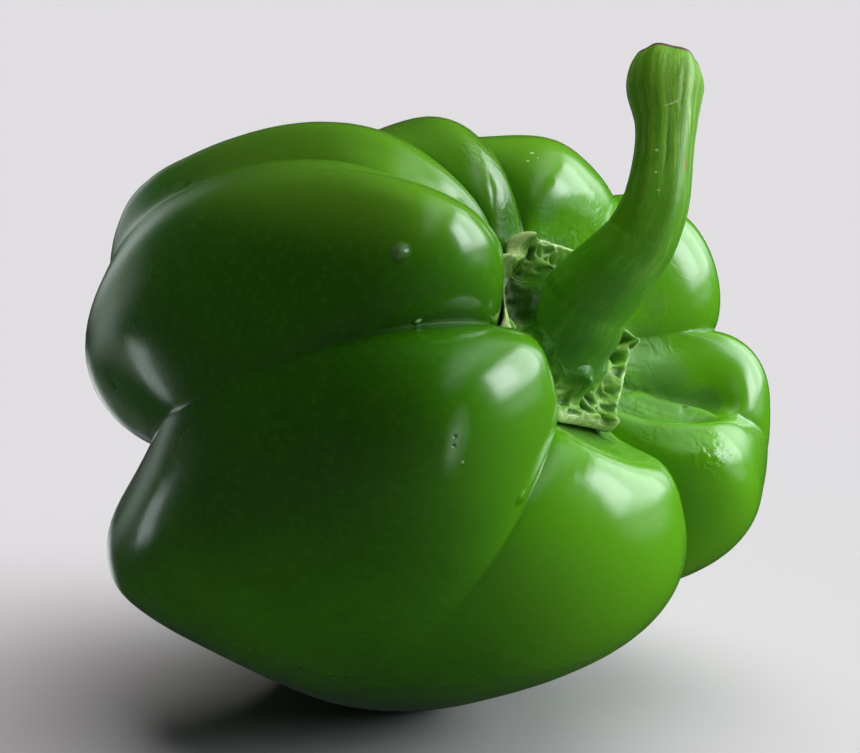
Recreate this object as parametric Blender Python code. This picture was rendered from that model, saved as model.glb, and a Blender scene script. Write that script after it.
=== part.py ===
# Green bell pepper lying on its side, as picked: a lobed fruit, the calyx in
# the hollow between its shoulders, and a ribbed stem that curves upwards.
#
# The fruit is drawn as meridians that run from the calyx over a shoulder, down
# the side and round a foot to the blossom end. Lobe crests and the furrows
# between them alternate round the axis, and the skin swells from one to the
# next. Lengths are in millimetres and angles in degrees until a mesh is made.

import math
import random

import bmesh
import bpy
import numpy as np
from mathutils import Matrix, Vector

MM = 0.001
TOUCH_GAP = 0.3

# How the fruit lies: its axis points up out of the calyx.
STEM_END_RISE = 26.0
HEADING = -34.0
ROLL = 77.0
FLAT_SPOT_DEPTH = 1.1

# The fruit's own frame has the calyx seat at its origin and +Z out of the stem
# end. Angles run round that axis, anticlockwise as seen from the stem.
SEAT_RADIUS = 15.0
BLOSSOM_Z = -63.0
BLOSSOM_RING = 5.0

# Each meridian: kind, angle at the shoulder, angle at the foot, crest radius,
# crest height, belly radius, belly height, foot radius, foot height, the share
# of the crest height that the inner wall has reached half way out, and for a
# furrow the share of its crease that is left on the side of the fruit.
MERIDIANS = (
    ("lobe", 160, 142, 35.0, 14.0, 48.0, -31, 28.5, -71.0, 0.84, 1.0),      # front upper
    ("furrow", 145, 124, 26.0, 6.0, 46.2, -42, 29.5, -71.5, 0.40, 0.4),
    ("lobe", 133, 110, 26.0, 4.5, 48.8, -54, 32.0, -73.5, 0.50, 1.0),       # top ridge
    ("furrow", 122, 91, 22.0, 0.5, 41.0, -41, 27.0, -71.0, 0.25, 0.2),
    ("lobe", 110, 79, 25.0, 3.0, 41.5, -36, 28.5, -72.5, 0.40, 1.0),        # back left
    ("furrow", 96, 68, 21.5, 0.5, 38.4, -30, 25.5, -71.0, 0.25, 0.3),
    ("lobe", 71, 56, 26.0, 6.0, 39.0, -28, 25.5, -71.5, 0.70, 1.0),         # back
    ("furrow", 47, 41, 24.0, 4.5, 37.5, -18, 16.0, -66.0, 0.25, 1.0),
    ("lobe", 22, 25, 32.0, 11.0, 43.5, -23, 22.0, -70.0, 0.60, 1.0),        # back right
    ("furrow", 1, 3, 29.0, 7.5, 43.0, -20, 17.0, -67.0, 0.25, 1.0),
    ("lobe", -12, -16, 36.0, 12.0, 48.2, -21, 24.0, -72.0, 0.20, 1.0),      # right
    ("furrow", -24, -27, 34.0, 10.0, 51.0, -18, 23.0, -70.5, 0.05, 0.1),
    ("lobe", -43, -39, 28.5, 12.5, 49.2, -21, 24.5, -72.0, 0.60, 1.0),
    ("furrow", -62, -60, 24.0, 2.5, 40.0, -33, 15.0, -64.0, 0.25, 1.0),
    ("lobe", -91, -90, 27.5, 12.5, 47.5, -34, 22.5, -67.0, 0.95, 1.0),      # underneath
    ("furrow", -136, -115, 25.0, 7.5, 47.3, -36, 21.0, -66.5, 0.65, 0.4),
    ("lobe", -166, -153, 29.5, 15.0, 50.5, -25, 28.5, -73.0, 0.92, 1.0),    # front lower
    ("furrow", -181, -181, 26.0, 7.5, 46.5, -28, 13.5, -60.5, 0.45, 1.0),
)

# Control rows of a meridian, from the middle of the seat to the blossom end:
# how far each has drifted to its angle at the foot, how sharp its furrows are,
# and how many steps the skin takes to the next.
ROW_DRIFT = (0, 0, 0, 0, 0, 0.15, 0.55, 0.9, 1, 1, 1, 1, 1, 1)
ROW_SHARPNESS = (0, 0, 0.6, 1, 1, 0.95, 0.7, 0.3, 0.3, 0.6, 0.9, 0.9, 0.4, 0)
ROW_STEPS = (2, 2, 3, 4, 4, 4, 5, 5, 5, 5, 4, 3, 2)
SIDE_ROW = 5
COLUMN_PITCH = 4.0
LEAST_COLUMNS = 4
ARC_FULLNESS = 0.93
SEAT_ROWS = 4

# Control points between a meridian's named ones, as shares of the way out (or
# in) and of the way down: on the inner wall, the shoulder, the side, the two
# rounds above the foot, and the slope up to the blossom end.
WALL_REACH = 0.42
SHOULDER = (0.72, 0.10)
SIDE_DROP = 0.50
UPPER_ROUND = (0.86, 0.48)
LOWER_ROUND = (0.46, 0.88)
BLOSSOM_SLOPE = (0.52, 0.60)

# The calyx: angle, tooth height and outward lean of each corner, then its
# outline, its floor with the mound that carries the stem, and its rim.
CALYX_CENTRE = (-2.2, 0.7)
CALYX_CORNERS = (
    (-7, 1.8, 1.2),
    (-71, 1.4, 0.6),
    (-122, 1.0, 0.2),
    (180, 1.0, 0.2),
    (134, 1.6, 0.5),
    (111, 3.2, 0.4),
    (50, 1.4, 0.6),
)
CORNER_RADIUS = 15.4
CALYX_EDGE_RADIUS = 13.7
CALYX_COLUMNS = 96
CALYX_SHARES = (0.25, 0.42, 0.5, 0.56, 0.62, 0.68, 0.74, 0.8, 0.86, 0.91, 0.96, 1.0)
CALYX_UNDER_SHARES = (1.0, 0.8, 0.45)
CALYX_FLOOR = 2.7
CALYX_RIM = 3.8
CALYX_LIP = 1.0
CALYX_MOUND = 4.5
CALYX_EDGE_DEPTH = 0.9
RIM_START = 0.80
RIM_SLOPE = 0.13
TOOTH_OVERHANG = 0.3
MOUND_RADIUS = 7.9
MOUND_SLOPE = 2.6

# How narrow the corners, their lean and their teeth are: powers of the
# nearness to a corner.
CORNER_POWER = 2
LEAN_POWER = 6
TOOTH_POWER = 8

# Ridges of the mound: angle, how far out each one reaches, and its height.
SPOKES = (
    (-104, 12.5, 2.0),
    (-52, 10.0, 1.2),
    (-20, 10.5, 1.2),
    (38, 10.0, 1.2),
    (104, 12.5, 1.6),
    (150, 10.5, 1.2),
)
SPOKE_WIDTH = 1.5
SPOKE_FADE = 3.0

# Pits of the wrinkled floor, in rings round the mound.
PIT_RINGS = ((9.0, 13), (11.2, 17))
PIT_DEPTH = 1.25
PIT_WIDTH = 0.95
PIT_SCATTER = 0.5
PIT_SIZES = (0.8, 1.25)
PIT_DRIFT = 0.5
PIT_SEED = 11

# The stem's centre line in the fruit's frame, and the radius at each point.
STEM_LINE = (
    ((-2.6, 1.2, 4.8), 6.8),
    ((-2.6, 3.7, 8.2), 6.5),
    ((-1.5, 6.4, 13.3), 5.9),
    ((0.1, 9.4, 17.9), 5.1),
    ((1.2, 14.0, 21.5), 4.6),
    ((2.6, 20.1, 23.5), 4.1),
    ((4.4, 25.4, 24.4), 4.2),
    ((5.9, 30.0, 24.4), 5.7),
    ((7.1, 33.0, 24.7), 5.4),
    ((8.1, 35.0, 25.1), 4.2),
)
STEM_RIBS = 6
STEM_RIB_DEPTH = 0.055
STEM_SIDES = 30
STEM_RINGS_PER_SPAN = 4
STEM_FOOT_RINGS = 8
CUT_RIM = 0.82
CUT_DEPTH = 0.35

SKIN_GREEN = (0.040, 0.180, 0.012, 1.0)
CALYX_GREEN = (0.300, 0.430, 0.090, 1.0)
STEM_GREEN = (0.085, 0.230, 0.025, 1.0)
SKIN_ROUGHNESS = 0.25
CALYX_ROUGHNESS = 0.6
STEM_ROUGHNESS = 0.45


def clear_scene():
    for old in list(bpy.data.objects):
        bpy.data.objects.remove(old)


def material(name, colour, roughness):
    made = bpy.data.materials.new(name)
    made.use_nodes = True
    shader = made.node_tree.nodes["Principled BSDF"]
    shader.inputs["Base Color"].default_value = colour
    shader.inputs["Roughness"].default_value = roughness
    shader.inputs["Metallic"].default_value = 0.0
    return made


def mix(a, b, share):
    return a + (b - a) * share


def smooth_step(share):
    share = np.clip(share, 0.0, 1.0)
    return share * share * (3 - 2 * share)


def polar(radius, angle):
    turn = math.radians(angle)
    return np.array([radius * math.cos(turn), radius * math.sin(turn)])


def cubic_spline(points, steps):
    # Uniform cubic B-spline along the first axis of an array of control points,
    # whose first and last rows only steer the ends.
    rows = []
    for i, count in enumerate(steps):
        p0, p1, p2, p3 = points[i:i + 4]
        for t in np.arange(count) / count:
            rows.append(
                ((1 - t) ** 3 * p0 + (3 * t**3 - 6 * t**2 + 4) * p1
                 + (-3 * t**3 + 3 * t**2 + 3 * t + 1) * p2 + t**3 * p3) / 6
            )
    rows.append((points[-3] + 4 * points[-2] + points[-1]) / 6)
    return np.array(rows)


def meridian_rows(crest_r, crest_z, belly_r, belly_z, foot_r, foot_z, wall_share):
    # Control points (radius, height) of one meridian, seat to blossom end.
    swell = belly_r - crest_r
    drop = crest_z - belly_z
    tuck = belly_r - foot_r
    fall = belly_z - foot_z
    return np.array([
        (0.0, 0.0),
        (SEAT_RADIUS / 2, 0.0),
        (SEAT_RADIUS, 0.0),
        (mix(SEAT_RADIUS, crest_r, WALL_REACH), crest_z * wall_share),
        (crest_r, crest_z),
        (crest_r + SHOULDER[0] * swell, crest_z - SHOULDER[1] * drop),
        (belly_r, belly_z + SIDE_DROP * drop),
        (belly_r, belly_z),
        (foot_r + UPPER_ROUND[0] * tuck, belly_z - UPPER_ROUND[1] * fall),
        (foot_r + LOWER_ROUND[0] * tuck, belly_z - LOWER_ROUND[1] * fall),
        (foot_r, foot_z),
        (foot_r * BLOSSOM_SLOPE[0], mix(foot_z, BLOSSOM_Z, BLOSSOM_SLOPE[1])),
        (BLOSSOM_RING, BLOSSOM_Z),
        (0.0, BLOSSOM_Z),
    ])


def swelling(share, sharpness):
    # How far the skin has sunk from crest (share 0) to furrow (share 1): a
    # round arc that ends in a crease where sharp, a wave where soft.
    full = ARC_FULLNESS
    arc = (1 - np.sqrt(1 - (full * share) ** 2)) / (1 - math.sqrt(1 - full * full))
    wave = (1 - np.cos(math.pi * share)) / 2
    return mix(wave, arc, sharpness)


def skin_columns():
    # Control points of every column of skin, as (column, row, xyz).
    drift = np.array(ROW_DRIFT)
    on_side = np.arange(len(ROW_DRIFT)) >= SIDE_ROW
    columns = []
    for i, here in enumerate(MERIDIANS):
        following = MERIDIANS[(i + 1) % len(MERIDIANS)]
        turn = 360 if i + 1 == len(MERIDIANS) else 0
        start = mix(here[1], here[2], drift)
        end = mix(following[1] - turn, following[2] - turn, drift)
        if end[0] > start[0]:
            end = end - 360
        count = max(LEAST_COLUMNS, round(abs(end[0] - start[0]) / COLUMN_PITCH))
        rows_here = meridian_rows(*here[3:10])
        rows_next = meridian_rows(*following[3:10])
        crease = min(here[10], following[10])
        sharpness = np.array(ROW_SHARPNESS) * np.where(on_side, crease, 1.0)
        for step in range(count):
            quarter = math.pi / 2 * step / count
            if here[0] == "lobe":
                along = math.sin(quarter)
                sink = swelling(along, sharpness)
                rows = mix(rows_here, rows_next, sink[:, None])
            else:
                along = 1 - math.cos(quarter)
                sink = swelling(1 - along, sharpness)
                rows = mix(rows_next, rows_here, sink[:, None])
            angle = np.radians(mix(start, end, along))
            columns.append(np.stack(
                [rows[:, 0] * np.cos(angle), rows[:, 0] * np.sin(angle), rows[:, 1]], 1
            ))
    return np.array(columns)


def skin_points():
    # Points of the skin as (row, column, xyz). The end rows are the two poles.
    control = skin_columns().transpose(1, 0, 2)
    mirror = np.array([-1, -1, 1])
    steered = np.concatenate([control[1:2] * mirror, control, control[-2:-1] * mirror])
    return cubic_spline(steered, ROW_STEPS)


def mesh_object(name, points, faces, look):
    mesh = bpy.data.meshes.new(name)
    mesh.from_pydata([Vector(p) * MM for p in points], [], faces)
    mesh.materials.append(look)
    work = bmesh.new()
    work.from_mesh(mesh)
    bmesh.ops.recalc_face_normals(work, faces=work.faces)
    work.to_mesh(mesh)
    work.free()
    mesh.shade_smooth()
    made = bpy.data.objects.new(name, mesh)
    bpy.context.scene.collection.objects.link(made)
    return made


def closed_grid(rings, first_pole, last_pole):
    # Points and faces of rings joined side by side and closed at both poles.
    count = rings.shape[1]
    points = [first_pole, *rings.reshape(-1, 3), last_pole]
    last = len(points) - 1
    faces = []
    for c in range(count):
        after = (c + 1) % count
        faces.append((0, 1 + c, 1 + after))
        for r in range(len(rings) - 1):
            a, b = 1 + r * count, 1 + (r + 1) * count
            faces.append((a + c, b + c, b + after, a + after))
        end = 1 + (len(rings) - 1) * count
        faces.append((last, end + after, end + c))
    return points, faces


def make_fruit(skin):
    points, faces = closed_grid(skin[1:-1], skin[0, 0], skin[-1, 0])
    look = material("fruit_skin", SKIN_GREEN, SKIN_ROUGHNESS)
    return mesh_object("fruit", points, faces, look)


def seat_height(skin, angle, radius):
    # Height of the skin near the calyx, above the seat.
    inner = skin[: sum(ROW_STEPS[:SEAT_ROWS])]
    bearing = np.degrees(np.arctan2(inner[-1, :, 1], inner[-1, :, 0]))
    order = np.argsort(bearing)
    reach = np.hypot(inner[..., 0], inner[..., 1])
    heights = [np.interp(radius, reach[:, c], inner[:, c, 2]) for c in order]
    return np.interp(angle, bearing[order], heights, period=360)


def calyx_edge(angle):
    # Outline radius and tooth height of the calyx at an angle.
    corners = sorted(CALYX_CORNERS)
    after = sum(1 for corner in corners if corner[0] < angle) % len(corners)
    before = after - 1
    span = (corners[after][0] - corners[before][0]) % 360
    share = ((angle - corners[before][0]) % 360) / span
    near = abs(2 * share - 1)
    _, tooth, lean = corners[after] if share > 0.5 else corners[before]
    radius = mix(CALYX_EDGE_RADIUS, CORNER_RADIUS, near**CORNER_POWER)
    return radius + lean * near**LEAN_POWER, tooth * near**TOOTH_POWER


def make_pits():
    scatter = random.Random(PIT_SEED)
    pits = []
    for radius, count in PIT_RINGS:
        for i in range(count):
            angle = (i + scatter.uniform(-PIT_SCATTER, PIT_SCATTER)) * 360 / count
            size = PIT_WIDTH * scatter.uniform(*PIT_SIZES)
            away = radius + scatter.uniform(-PIT_DRIFT, PIT_DRIFT)
            pits.append((polar(away, angle), size))
    return pits


def calyx_height(spot, radius, pits):
    # Height of the calyx inside its rim: the mound, its ridges and the pits.
    height = mix(CALYX_MOUND, CALYX_FLOOR, smooth_step((radius - MOUND_RADIUS) / MOUND_SLOPE))
    outside = smooth_step((radius - MOUND_RADIUS) / (MOUND_SLOPE / 2))
    ridge = 0.0
    lift = 0.0
    for angle, reach, tall in SPOKES:
        along = float(np.dot(spot, polar(1.0, angle)))
        aside = float(np.linalg.norm(spot - polar(1.0, angle) * along))
        if along > 0:
            fade = 1 - smooth_step((radius - reach) / SPOKE_FADE + 1)
            ridge = max(ridge, math.exp(-(aside / SPOKE_WIDTH) ** 2) * fade)
            lift = max(lift, tall * math.exp(-(aside / SPOKE_WIDTH) ** 2) * fade)
    hollow = 0.0
    for centre, size in pits:
        hollow = max(hollow, math.exp(-(float(np.linalg.norm(spot - centre)) / size) ** 2))
    return height + outside * (lift - PIT_DEPTH * hollow * (1 - ridge))


def under_calyx(skin, spot):
    # Height of the calyx's underside at a spot measured from its own middle.
    x, y = spot + np.array(CALYX_CENTRE)
    return seat_height(skin, math.degrees(math.atan2(y, x)), math.hypot(x, y)) + TOUCH_GAP


def make_calyx(skin):
    pits = make_pits()
    angles = np.linspace(-180, 180, CALYX_COLUMNS, endpoint=False)
    edges = [calyx_edge(angle) for angle in angles]
    rings = []
    for share in CALYX_SHARES:
        ring = []
        for angle, (edge, tooth) in zip(angles, edges):
            radius = share * edge
            spot = polar(radius, angle)
            rim = smooth_step((share - RIM_START) / RIM_SLOPE)
            height = mix(calyx_height(spot, radius, pits), CALYX_RIM + tooth, rim)
            if share == 1.0:
                height -= CALYX_LIP + tooth * TOOTH_OVERHANG
            height = max(height, under_calyx(skin, spot) + CALYX_EDGE_DEPTH)
            ring.append((*spot, height))
        rings.append(ring)
    for share in CALYX_UNDER_SHARES:
        ring = []
        for angle, (edge, _) in zip(angles, edges):
            spot = polar(share * edge, angle)
            ring.append((*spot, under_calyx(skin, spot)))
        rings.append(ring)
    grid = np.array(rings) + (*CALYX_CENTRE, 0)
    top = (*CALYX_CENTRE, CALYX_MOUND)
    bottom = (*CALYX_CENTRE, TOUCH_GAP)
    points, faces = closed_grid(grid, top, bottom)
    look = material("calyx_green", CALYX_GREEN, CALYX_ROUGHNESS)
    return mesh_object("calyx", points, faces, look)


def make_stem():
    line = np.array([(*spot, radius) for spot, radius in STEM_LINE])
    steered = np.vstack([2 * line[0] - line[1], line, 2 * line[-1] - line[-2]])
    track = cubic_spline(steered, [STEM_RINGS_PER_SPAN] * (len(line) - 1))
    across = Vector((1, 0, 0))
    rings = []
    for i, (x, y, z, radius) in enumerate(track):
        ahead = track[min(i + 1, len(track) - 1)] - track[max(i - 1, 0)]
        along = Vector(ahead[:3]).normalized()
        along = Vector((0, 0, 1)).lerp(along, smooth_step(i / STEM_FOOT_RINGS)).normalized()
        across = (across - across.dot(along) * along).normalized()
        beside = along.cross(across)
        ring = []
        for side in range(STEM_SIDES):
            turn = 2 * math.pi * side / STEM_SIDES
            reach = radius * (1 + STEM_RIB_DEPTH * math.cos(STEM_RIBS * turn))
            spot = across * math.cos(turn) + beside * math.sin(turn)
            ring.append(Vector((x, y, z)) + spot * reach)
        rings.append(ring)
    grid = np.array(rings)
    end = grid[-1].mean(0)
    cut = mix(end, grid[-1], CUT_RIM)
    dish = end - np.array(along) * CUT_DEPTH
    grid = np.concatenate([grid, cut[None]])
    points, faces = closed_grid(grid, grid[0].mean(0), dish)
    look = material("stem_green", STEM_GREEN, STEM_ROUGHNESS)
    return mesh_object("stem", points, faces, look)


def lay_down(pieces):
    # Tips the fruit on its side with the stem end raised, flattens the spot it
    # lies on, and puts the origin on the floor under the middle of its box.
    lie = (
        Matrix.Rotation(math.radians(HEADING), 4, "Z")
        @ Matrix.Rotation(math.radians(90 - STEM_END_RISE), 4, "Y")
        @ Matrix.Rotation(math.radians(ROLL), 4, "Z")
    )
    for piece in pieces:
        piece.data.transform(lie)
    fruit = pieces[0].data
    floor = min(v.co.z for v in fruit.vertices) + FLAT_SPOT_DEPTH * MM
    for vertex in fruit.vertices:
        vertex.co.z = max(vertex.co.z, floor)
    spots = np.array([v.co for piece in pieces for v in piece.data.vertices])
    low, high = spots.min(0), spots.max(0)
    shift = Vector((-(low[0] + high[0]) / 2, -(low[1] + high[1]) / 2, -floor))
    for piece in pieces:
        piece.location = shift


def main():
    clear_scene()
    skin = skin_points()
    pieces = [make_fruit(skin), make_calyx(skin), make_stem()]
    lay_down(pieces)


main()
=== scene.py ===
import bpy
import math
import numpy as np
from mathutils import Matrix, Vector, noise


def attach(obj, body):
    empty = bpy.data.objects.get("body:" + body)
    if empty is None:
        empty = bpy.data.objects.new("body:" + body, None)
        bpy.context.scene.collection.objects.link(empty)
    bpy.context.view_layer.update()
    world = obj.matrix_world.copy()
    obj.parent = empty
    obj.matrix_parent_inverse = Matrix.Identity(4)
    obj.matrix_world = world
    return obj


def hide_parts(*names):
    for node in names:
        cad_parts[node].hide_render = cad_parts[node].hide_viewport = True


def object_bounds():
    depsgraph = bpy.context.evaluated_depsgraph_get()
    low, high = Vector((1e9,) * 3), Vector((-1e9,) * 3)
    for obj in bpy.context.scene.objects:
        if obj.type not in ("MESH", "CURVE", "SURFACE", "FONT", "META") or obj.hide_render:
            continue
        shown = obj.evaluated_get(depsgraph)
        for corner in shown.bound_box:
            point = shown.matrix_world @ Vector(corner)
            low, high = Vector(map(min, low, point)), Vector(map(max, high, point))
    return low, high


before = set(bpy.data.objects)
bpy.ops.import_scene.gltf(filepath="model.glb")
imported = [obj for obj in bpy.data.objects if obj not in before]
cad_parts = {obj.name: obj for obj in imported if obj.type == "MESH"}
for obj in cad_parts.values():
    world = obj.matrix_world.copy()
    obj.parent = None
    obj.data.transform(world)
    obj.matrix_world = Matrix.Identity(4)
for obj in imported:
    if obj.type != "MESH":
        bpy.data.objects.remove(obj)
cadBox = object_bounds()
mm = 0.001
print("frame loaded", sorted(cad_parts))

# camera: a long lens about 35 cm away, a little above the table, as in the photograph
cameraSet = {
    "place": (0.0, -0.3457, 0.1434),
    "aim": (0.0, 0.0092, 0.0483),
    "lens": 100.0,
    "sensor": 36.0,
    "nearest": 0.01,
    "photoSize": (860, 753),
}

# how the pepper lies: its own axis runs from the blossom end to the calyx, tipped on its side
growthSet = {
    "seat": (18.65, -8.55, 58.23),    # mm, where the axis meets the calyx
    "heading": -34,
    "rise": 26,
    "roll": 77,
}


def addCamera():
    place = Vector(cameraSet["place"])
    look = Vector(cameraSet["aim"]) - place
    bpy.ops.object.camera_add(location=place)
    made = bpy.context.object
    made.name = "photoCamera"
    made.rotation_mode = "QUATERNION"
    made.rotation_quaternion = look.to_track_quat("-Z", "Y")
    made.data.lens = cameraSet["lens"]
    made.data.sensor_width = cameraSet["sensor"]
    made.data.clip_start = cameraSet["nearest"]
    bpy.context.scene.camera = made
    return made


camera = addCamera()
print("camera placed")


def pixelRay(x, y):
    # the line of sight through one place in the photograph
    width, height = cameraSet["photoSize"]
    focal = cameraSet["lens"] / cameraSet["sensor"] * width
    along = Vector(((x - width / 2) / focal, (height / 2 - y) / focal, -1))
    turn = camera.rotation_quaternion.to_matrix()
    return Vector(cameraSet["place"]), (turn @ along).normalized()


def seenPlace(piece, pixel):
    # whether a piece lies behind a place in the photograph, and its point and normal there
    return piece.ray_cast(*pixelRay(*pixel))[:3]


def toPixels(points):
    # where points are seen in the photograph
    width, height = cameraSet["photoSize"]
    focal = cameraSet["lens"] / cameraSet["sensor"] * width
    turn = np.array(camera.rotation_quaternion.to_matrix())
    seen = (points - np.array(cameraSet["place"])) @ turn
    across, down = -focal * seen[:, 0] / seen[:, 2], focal * seen[:, 1] / seen[:, 2]
    return width / 2 + across, height / 2 + down


def growthTurn():
    heading = Matrix.Rotation(math.radians(growthSet["heading"]), 3, "Z")
    tip = Matrix.Rotation(math.radians(90 - growthSet["rise"]), 3, "Y")
    roll = Matrix.Rotation(math.radians(growthSet["roll"]), 3, "Z")
    return np.array(heading @ tip @ roll)


def toGrowth(points):
    # table coordinates in metres to the fruit's own in mm: x and y across it, z towards the stem
    return (points / mm - np.array(growthSet["seat"])) @ growthTurn()


def hexColour(text):
    # sRGB hex to the linear values that the nodes take
    values = []
    for start in (0, 2, 4):
        part = int(text[start:start + 2], 16) / 255
        values.append(part / 12.92 if part <= 0.04045 else ((part + 0.055) / 1.055) ** 2.4)
    return (values[0], values[1], values[2], 1.0)


def deselectAll():
    if bpy.context.object and bpy.context.object.mode != "OBJECT":
        bpy.ops.object.mode_set(mode="OBJECT")
    bpy.ops.object.select_all(action="DESELECT")


def copyNode(node, name):
    # a merged copy of a CAD node's mesh, with its triangles joined to quads
    deselectAll()
    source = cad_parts[node]
    source.select_set(True)
    bpy.context.view_layer.objects.active = source
    bpy.ops.object.duplicate()
    piece = bpy.context.object
    piece.name = name
    piece.data.name = name
    piece.parent = None
    for key in list(piece.keys()):
        del piece[key]
    piece.data.materials.clear()
    flattest, squarest = math.radians(50), math.radians(60)
    bpy.ops.object.mode_set(mode="EDIT")
    bpy.ops.mesh.select_all(action="SELECT")
    bpy.ops.mesh.remove_doubles(threshold=0.01 * mm)
    bpy.ops.mesh.customdata_custom_splitnormals_clear()
    bpy.ops.mesh.tris_convert_to_quads(face_threshold=flattest, shape_threshold=squarest)
    bpy.ops.object.mode_set(mode="OBJECT")
    return piece


def getPoints(piece):
    flat = np.zeros(len(piece.data.vertices) * 3)
    piece.data.vertices.foreach_get("co", flat)
    return flat.reshape(-1, 3)


def getNormals(piece):
    flat = np.zeros(len(piece.data.vertices) * 3)
    piece.data.vertices.foreach_get("normal", flat)
    return flat.reshape(-1, 3)


def setPoints(piece, points):
    # no point leaves the CAD part's own box
    low, high = np.array(cadBox)
    points = np.clip(points, low, high)
    piece.data.vertices.foreach_set("co", points.astype(np.float32).reshape(-1))
    piece.data.update()


def makeFiner(piece, levels):
    # rounding draws a mesh in, so its points are first moved out by what they would lose
    rounder = piece.modifiers.new("rounder", "SUBSURF")
    rounder.levels = levels
    rounder.render_levels = levels
    wanted = getPoints(piece)
    rounded = piece.evaluated_get(bpy.context.evaluated_depsgraph_get()).to_mesh()
    found = np.array([v.co for v in rounded.vertices[:len(wanted)]])
    piece.to_mesh_clear()
    piece.data.vertices.foreach_set("co", (2 * wanted - found).astype(np.float32).reshape(-1))
    piece.data.update()
    bpy.ops.object.modifier_apply(modifier=rounder.name)
    bpy.ops.object.shade_smooth()


def storeNumbers(piece, name, values):
    layer = piece.data.attributes.new(name, "FLOAT", "POINT")
    layer.data.foreach_set("value", np.asarray(values, dtype=np.float32))


def storeVectors(piece, name, values):
    layer = piece.data.attributes.new(name, "FLOAT_VECTOR", "POINT")
    layer.data.foreach_set("vector", np.asarray(values, dtype=np.float32).reshape(-1))


def softStep(values):
    values = np.clip(values, 0, 1)
    return values * values * (3 - 2 * values)


def rise(values, start, width):
    # 0 up to the start, 1 from one width past it
    return softStep((values - start) / width)


def fall(values, end, width):
    # 1 down to one width before the end, 0 from the end on
    return softStep((end - values) / width)


def noiseAt(points, size, seed):
    # one smooth value for each point, about -1 to 1, in humps as large as size
    shift = np.array((seed * 7.3, seed * 3.1, seed * 5.7))
    return np.array([noise.noise(p) for p in (points / size + shift).tolist()])


def smoothed(piece, values, rounds):
    # the values averaged over the neighbours along the mesh's edges, again and again
    ends = np.zeros(len(piece.data.edges) * 2, dtype=np.int64)
    piece.data.edges.foreach_get("vertices", ends)
    ends = ends.reshape(-1, 2)
    count = np.bincount(ends.reshape(-1), minlength=len(values)).astype(float)
    for _ in range(rounds):
        total = np.zeros_like(values)
        for column in range(values.shape[1]):
            total[:, column] = (
                np.bincount(ends[:, 0], values[ends[:, 1], column], len(values))
                + np.bincount(ends[:, 1], values[ends[:, 0], column], len(values))
            )
        values = 0.5 * values + 0.5 * total / count[:, None]
    return values


def patch(points, centre, reach):
    # 1 at the centre, fading to 0 at the reach
    away = np.linalg.norm(points - np.array(centre), axis=1)
    return softStep(1 - away / reach)


def raiseSpots(piece, points, values, spots):
    # the values raised round places in the photograph, each with its reach in mm and strength
    for pixel, reach, strength in spots:
        found, place, _ = seenPlace(piece, pixel)
        if found:
            values = np.maximum(values, strength * patch(points, place, reach * mm))
    return values


# softly stepped ranges, and colours laid over each other
softRange = {"interpolation_type": "SMOOTHSTEP"}
colourMix = {"data_type": "RGBA", "clamp_factor": False}


def addNode(tree, kind, settings, inputs, output=0):
    # one node: its settings by name, and its inputs by name, number or order; each input is a
    # value or what another node puts out
    made = tree.nodes.new(kind)
    for key, value in settings.items():
        setattr(made, key, value)
    if isinstance(inputs, tuple):
        inputs = dict(enumerate(inputs))
    for key, value in inputs.items():
        if isinstance(value, bpy.types.NodeSocket):
            tree.links.new(value, made.inputs[key])
        else:
            made.inputs[key].default_value = value
    return made.outputs[output] if made.outputs else None


def paintOver(tree, under, where, colour, low, high, weak=0.0, strong=1.0):
    # a colour that comes up over another as an attribute, or a node's number, goes from low to high
    if isinstance(where, str):
        where = addNode(tree, "ShaderNodeAttribute", {"attribute_name": where}, {}, "Fac")
    share = addNode(tree, "ShaderNodeMapRange", softRange, (where, low, high, weak, strong))
    return addNode(tree, "ShaderNodeMix", colourMix, {0: share, 6: under, 7: hexColour(colour)}, 2)


# marks on the skin and the stalk
marksSet = {
    "warp": {"Scale": 1400.0, "Detail": 2.0},    # about 0.7 mm
    "warpShift": 0.4,      # mm
    "depth": 1.2,          # mm that a mark reaches into the piece
    "blur": (1.25, 0.5),   # gone and full, as shares of its half length and half width
}


def paintMarks(tree, piece, spot, green, marks):
    # each mark is a small drawn-out spot of colour, its edge made uneven by a fine warp
    warp = addNode(tree, "ShaderNodeTexNoise", {}, {"Vector": spot, **marksSet["warp"]}, "Color")
    shift = marksSet["warpShift"] * mm
    bent = addNode(tree, "ShaderNodeVectorMath", {"operation": "MULTIPLY_ADD"},
                   (warp, (shift, shift, shift), spot))
    turn = camera.rotation_quaternion.to_matrix()
    for name, pixel, length, width, tilt, colour, strength in marks:
        found, centre, normal = seenPlace(piece, pixel)
        if not found:
            continue
        lean = math.radians(tilt)
        along = turn @ Vector((math.cos(lean), math.sin(lean), 0))
        along = (along - normal * along.dot(normal)).normalized()
        axes = Matrix((along, normal.cross(along), normal)).transposed()
        spread = (length * mm / 2, width * mm / 2, marksSet["depth"] * mm)
        near = addNode(tree, "ShaderNodeMapping", {"vector_type": "TEXTURE", "label": name}, {
            "Vector": bent,
            "Location": centre + Vector((shift / 2, shift / 2, shift / 2)),
            "Rotation": axes.to_euler(),
            "Scale": spread,
        })
        away = addNode(tree, "ShaderNodeVectorMath", {"operation": "LENGTH"}, (near,), "Value")
        green = paintOver(tree, green, away, colour, *marksSet["blur"], 0.0, strength)
    return green


def makeMaterial(name, shader, paint):
    # a new material: paint gives the shader's linked inputs, and the rest are plain values
    made = bpy.data.materials.new(name)
    made.use_nodes = True
    tree = made.node_tree
    tree.nodes.clear()
    surface = addNode(tree, "ShaderNodeBsdfPrincipled", {}, {**shader, **paint(tree)})
    addNode(tree, "ShaderNodeOutputMaterial", {}, {"Surface": surface})
    return made


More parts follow.
